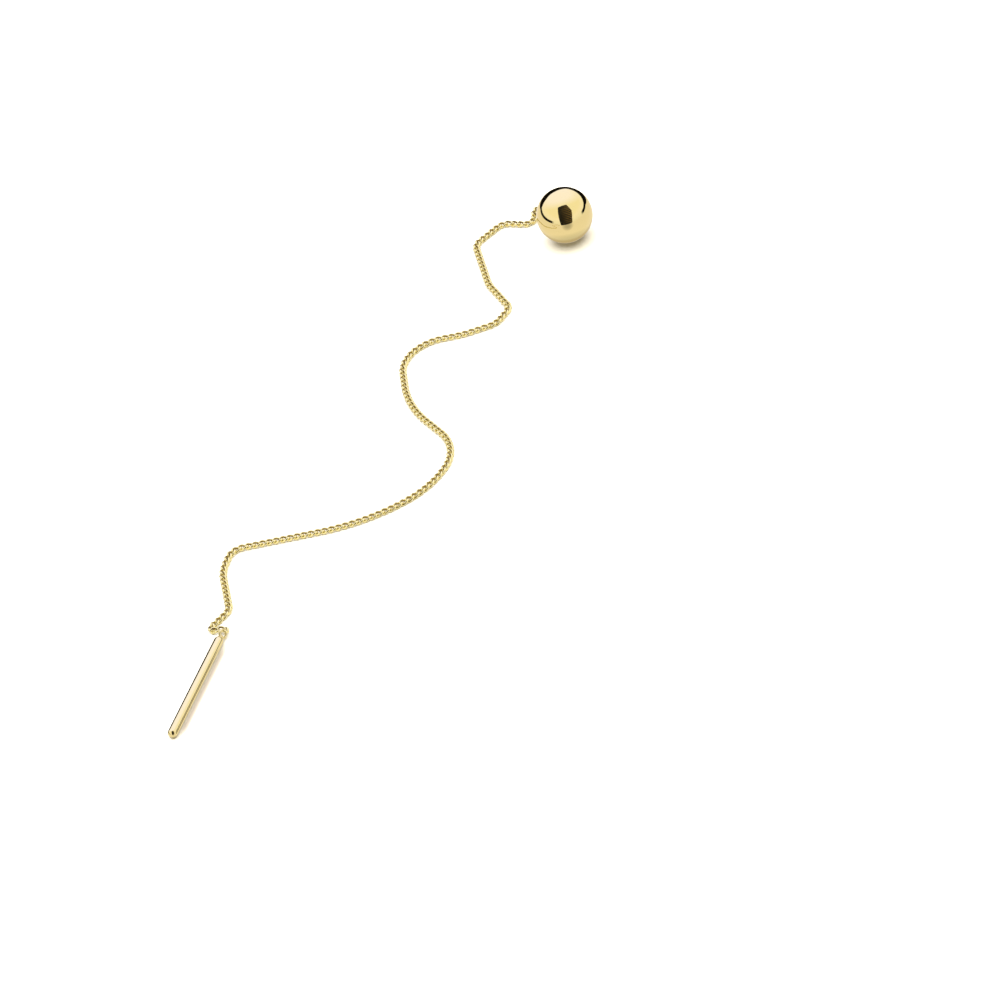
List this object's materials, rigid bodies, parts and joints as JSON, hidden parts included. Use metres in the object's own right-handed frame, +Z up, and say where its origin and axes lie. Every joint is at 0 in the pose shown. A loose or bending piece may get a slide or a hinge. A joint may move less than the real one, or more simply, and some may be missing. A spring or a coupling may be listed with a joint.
{
  "type": "threader earring",
  "caption": "Gold threader earring: a polished round ball on a fine curb chain that ends in a slim straight rod for threading through the ear.",
  "frame": {"origin": "on the surface the earring lies on, under the middle of its whole extent", "axes": "+Z up from the surface; +Y from the rod's free end towards the ball's end, away from the viewer; +X to the viewer's right"},
  "size_m": [0.053, 0.0734, 0.006],
  "materials": {
    "polished_gold": "mirror polished yellow gold",
    "chain_gold": "bright yellow gold wire links"
  },
  "bodies": {
    "root": {"ball": "polished_gold", "chain_upper": "chain_gold", "chain_lower": "chain_gold", "rod": "polished_gold"}
  },
  "joints": []
}
